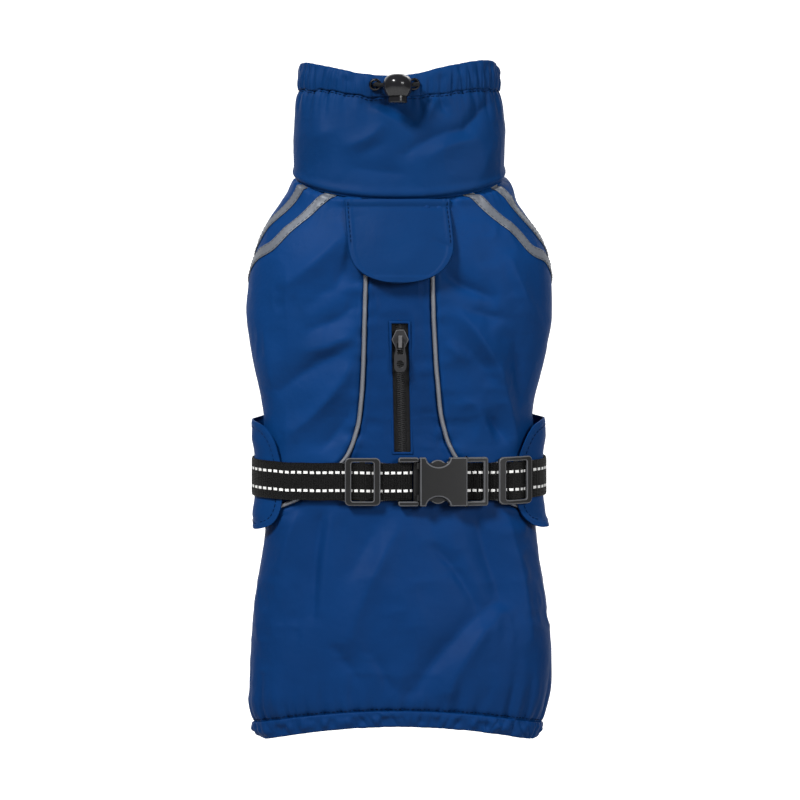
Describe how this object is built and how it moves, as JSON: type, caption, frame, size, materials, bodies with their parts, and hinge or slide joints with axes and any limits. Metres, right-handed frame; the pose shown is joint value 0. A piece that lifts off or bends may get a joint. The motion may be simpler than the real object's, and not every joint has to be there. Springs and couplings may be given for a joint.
{
  "type": "dog raincoat",
  "caption": "Worn-shape dog raincoat: tall drawstring collar, leash flap, back zip, piped panels, belly panel with wing tabs, webbing belt with side-release buckle, elastic hem.",
  "frame": {"origin": "middle of the neck ring, level with the collar seam at the middle of the back", "axes": "+Z towards the wearer's head, -Y out of the middle of the back, +X to the right seen from behind"},
  "size_m": [0.2064, 0.1167, 0.4515],
  "materials": {
    "shell_fabric": "coated polyester plain weave, soft sheen",
    "piping": "reflective piping",
    "reflective_tape": "glass bead reflective tape",
    "webbing": "ribbed nylon webbing with white picks",
    "buckle_plastic": "moulded acetal",
    "zip_tape": "woven polyester zip tape",
    "zip_metal": "painted die casting with a bare bridge",
    "pull_plastic": "painted pull tab",
    "eyelet_metal": "black pressed eyelet",
    "cord": "braided elastic cord",
    "lock_plastic": "moulded cord lock"
  },
  "bodies": {
    "coat": {"back_panel": "shell_fabric", "side_panel_left": "shell_fabric", "side_panel_right": "shell_fabric", "belly_panel": "shell_fabric", "collar": "shell_fabric", "collar_casing": "shell_fabric", "hem_casing": "shell_fabric", "leash_flap": "shell_fabric", "piping_left": "piping", "piping_right": "piping", "tape_left_lower": "reflective_tape", "tape_left_upper": "reflective_tape", "tape_right_lower": "reflective_tape", "tape_right_upper": "reflective_tape", "belt_webbing": "webbing", "slide_left": "buckle_plastic", "slide_right": "buckle_plastic", "buckle_male": "buckle_plastic", "buckle_female": "buckle_plastic", "zip_tape_left": "zip_tape", "zip_tape_right": "zip_tape", "zip_slider": "zip_metal", "eyelet_left": "eyelet_metal", "eyelet_right": "eyelet_metal", "drawcord": "cord", "cord_lock": "lock_plastic"},
    "pull_tab": {"pull_tab": "pull_plastic"},
    "plunger": {"cord_lock_plunger": "lock_plastic"}
  },
  "joints": [
    {"name": "pull_tab_hinge", "type": "hinge", "parent": "coat", "child": "pull_tab", "pos_m": [0.00085, -0.04365, -0.0952], "axis": [-1, 0, 0], "range_deg": [0, 170]},
    {"name": "plunger_slide", "type": "slide", "parent": "coat", "child": "plunger", "axis": [0, 0, 1], "range_m": [0, 0.004], "stiffness_N_per_m": 800, "springref_m": -0.002}
  ]
}
